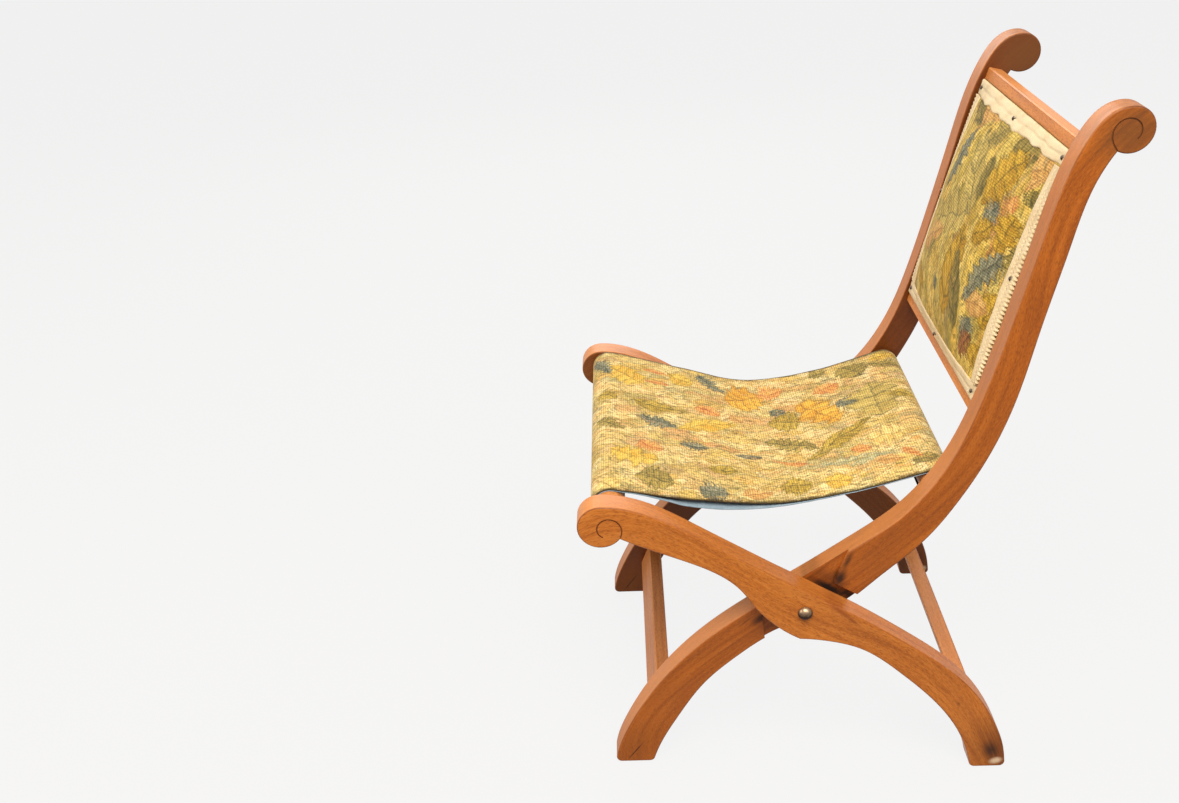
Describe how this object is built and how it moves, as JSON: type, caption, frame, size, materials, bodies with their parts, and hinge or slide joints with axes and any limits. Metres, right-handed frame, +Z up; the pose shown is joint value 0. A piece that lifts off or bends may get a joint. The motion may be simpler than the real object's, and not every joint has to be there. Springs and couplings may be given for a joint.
{
  "type": "folding sling chair",
  "caption": "Folding X-frame wooden chair with S-curved scrolled members, a tapestry sling seat and a padded tapestry back edged with braid.",
  "frame": {"origin": "on the floor, in the middle of the chair's width and depth", "axes": "+Z up, the chair faces -Y, the sitter's left is +X"},
  "size_m": [0.4828, 0.614, 0.853],
  "materials": {
    "wood": "warm brown varnish, satin, open grain",
    "dark_steel": "dark bronzed steel, worn",
    "tack_metal": "dull brass heads",
    "tapestry": "woven wool tapestry, matte, leaves on a straw ground",
    "lining": "plain blue-green cotton, matte",
    "braid": "cream woven braid, matte",
    "webbing": "jute webbing and wadding, matte"
  },
  "bodies": {
    "back_frame": {"upright_left": "wood", "upright_right": "wood", "seat_rear_rail": "wood", "front_stretcher": "wood", "top_rail": "wood", "bottom_rail": "wood", "back_stile_left": "wood", "back_stile_right": "wood", "pivot_bolt_left": "dark_steel", "pivot_bolt_right": "dark_steel", "pivot_washer_left": "dark_steel", "pivot_washer_right": "dark_steel", "pivot_nut_left": "dark_steel", "pivot_nut_right": "dark_steel", "back_tacks": "tack_metal", "lining_tacks": "tack_metal", "rear_rail_tacks": "tack_metal", "braid_top": "braid", "braid_bottom": "braid", "braid_left": "braid", "braid_right": "braid", "back_cloth": "tapestry", "back_lining": "lining", "back_webbing": "webbing", "back_padding": "webbing", "seat_cloth": "tapestry", "seat_lining": "lining"},
    "seat_frame": {"seat_member_left": "wood", "seat_member_right": "wood", "seat_front_rail": "wood", "rear_stretcher": "wood", "front_rail_tacks": "tack_metal"}
  },
  "joints": [
    {"name": "fold", "type": "hinge", "parent": "back_frame", "child": "seat_frame", "pos_m": [0, -0.035, 0.254], "axis": [-1, 0, 0], "range_deg": [0, 78], "deforming": ["seat_cloth", "seat_lining"]}
  ]
}
